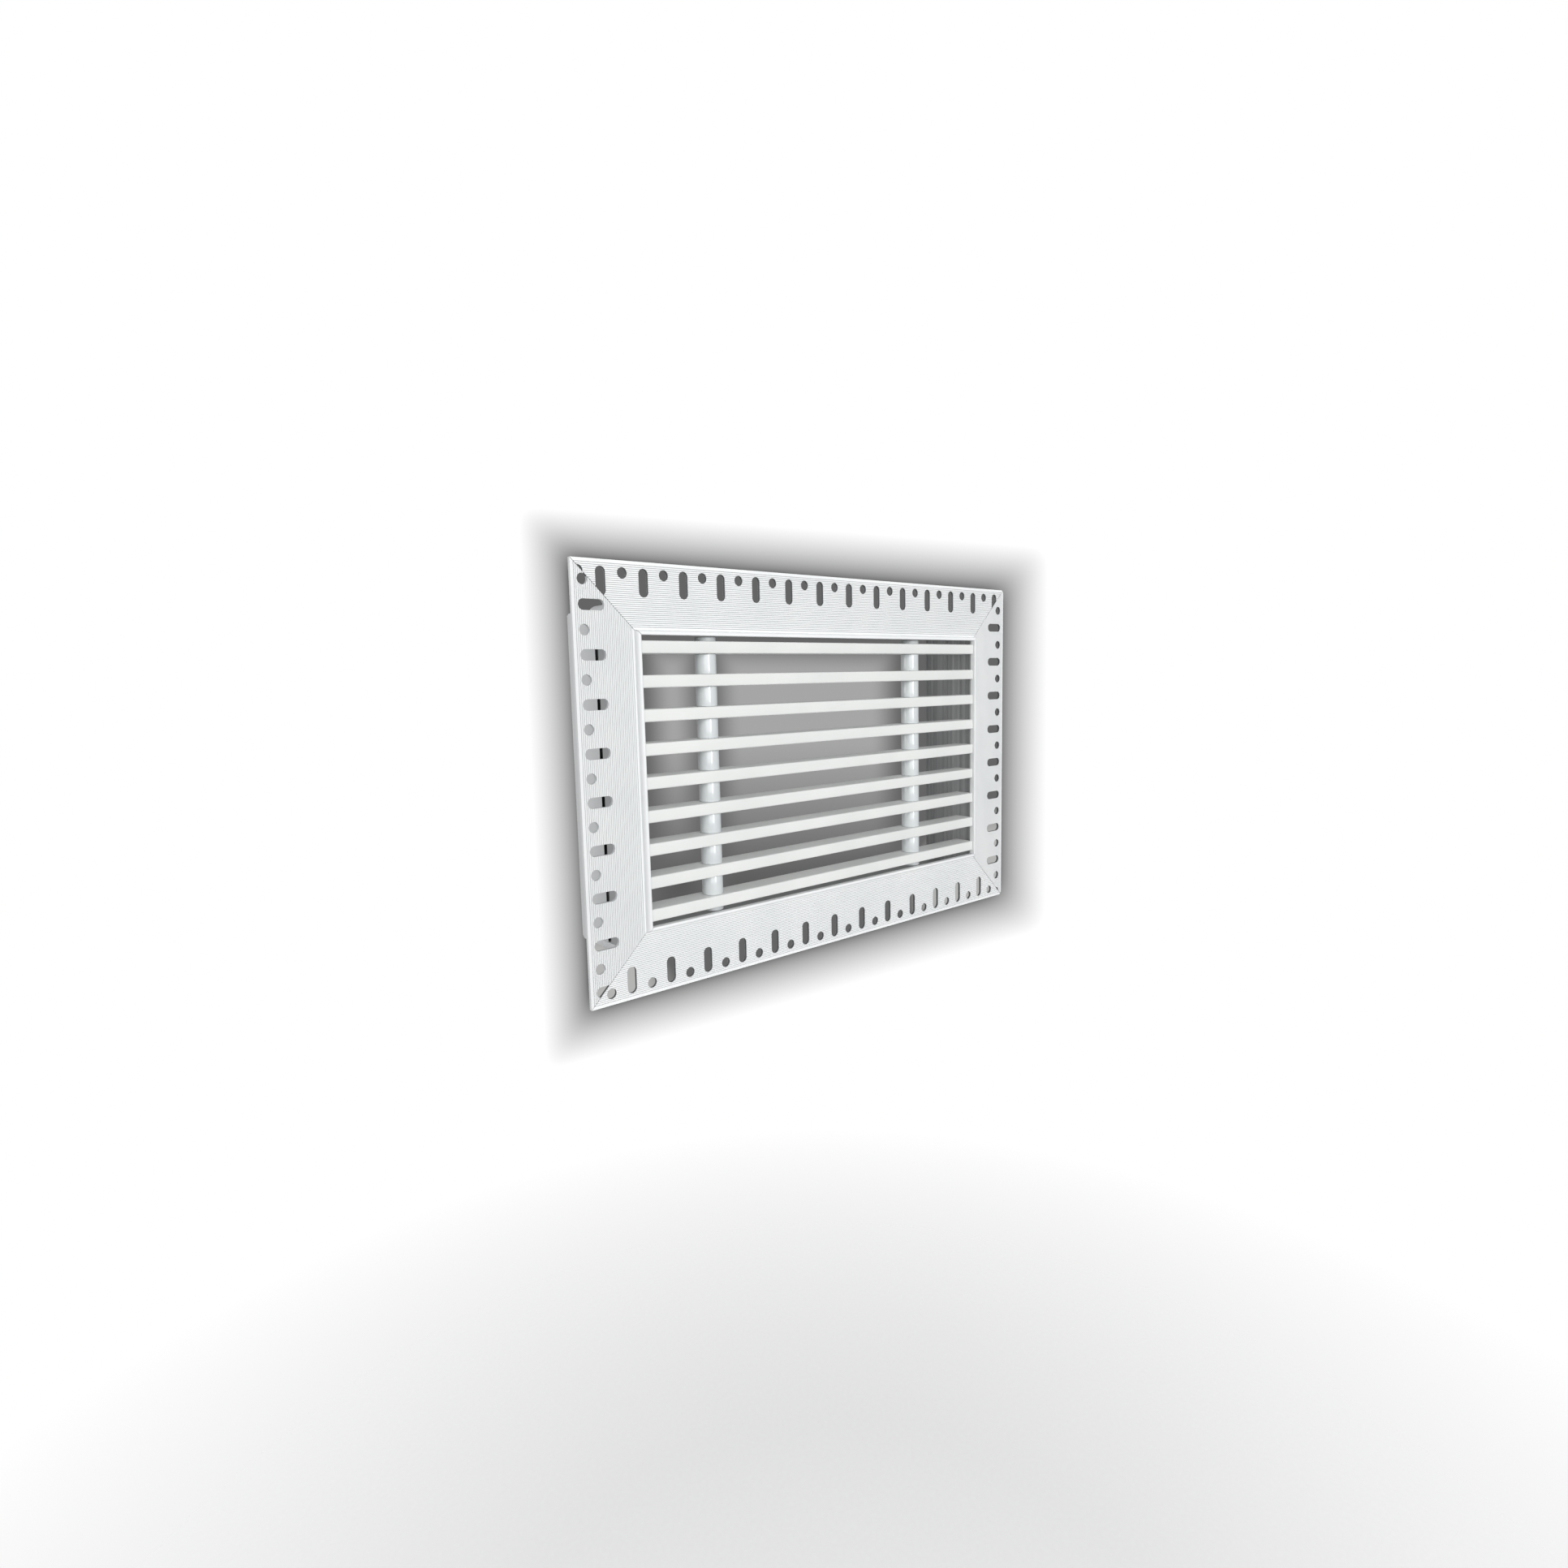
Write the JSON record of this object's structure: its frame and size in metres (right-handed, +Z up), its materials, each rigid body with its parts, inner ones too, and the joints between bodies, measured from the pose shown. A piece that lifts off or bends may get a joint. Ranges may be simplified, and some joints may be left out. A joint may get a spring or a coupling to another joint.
{
  "type": "louvred air grille",
  "caption": "Rectangular plaster-in air grille: mitred perforated flange with a short duct neck, and a removable core of straight horizontal blades on spacer tubes.",
  "frame": {"origin": "middle of the aperture in the plane of the flange's rear face, the face that lies against the wall", "axes": "+Z up with the blades horizontal, +X to the right seen from the room, +Y into the wall, so the visible face looks towards -Y"},
  "size_m": [0.282, 0.0453, 0.185],
  "materials": {
    "frame_coat": "white powder coat, satin",
    "blade_coat": "white powder coat, satin",
    "spacer_coat": "white lacquer, glossy",
    "corner_key": "die cast and powder coated with the frame, satin",
    "tie_rod": "zinc plated",
    "end_button": "white, smooth"
  },
  "bodies": {
    "frame": {"frame_top": "frame_coat", "frame_bottom": "frame_coat", "frame_left": "frame_coat", "frame_right": "frame_coat", "corner_key_top_right": "corner_key", "corner_key_top_left": "corner_key", "corner_key_bottom_left": "corner_key", "corner_key_bottom_right": "corner_key"},
    "core": {"blade_1": "blade_coat", "blade_2": "blade_coat", "blade_3": "blade_coat", "blade_4": "blade_coat", "blade_5": "blade_coat", "blade_6": "blade_coat", "blade_7": "blade_coat", "blade_8": "blade_coat", "blade_9": "blade_coat", "tie_rod_left": "tie_rod", "tie_rod_right": "tie_rod", "spacer_left_1": "spacer_coat", "spacer_left_2": "spacer_coat", "spacer_left_3": "spacer_coat", "spacer_left_4": "spacer_coat", "spacer_left_5": "spacer_coat", "spacer_left_6": "spacer_coat", "spacer_left_7": "spacer_coat", "spacer_left_8": "spacer_coat", "spacer_right_1": "spacer_coat", "spacer_right_2": "spacer_coat", "spacer_right_3": "spacer_coat", "spacer_right_4": "spacer_coat", "spacer_right_5": "spacer_coat", "spacer_right_6": "spacer_coat", "spacer_right_7": "spacer_coat", "spacer_right_8": "spacer_coat", "end_button_left_top": "end_button", "end_button_left_bottom": "end_button", "end_button_right_top": "end_button", "end_button_right_bottom": "end_button"}
  },
  "joints": [
    {"name": "core_slide", "type": "slide", "parent": "frame", "child": "core", "axis": [0, -1, 0], "range_m": [0, 0.04]}
  ]
}
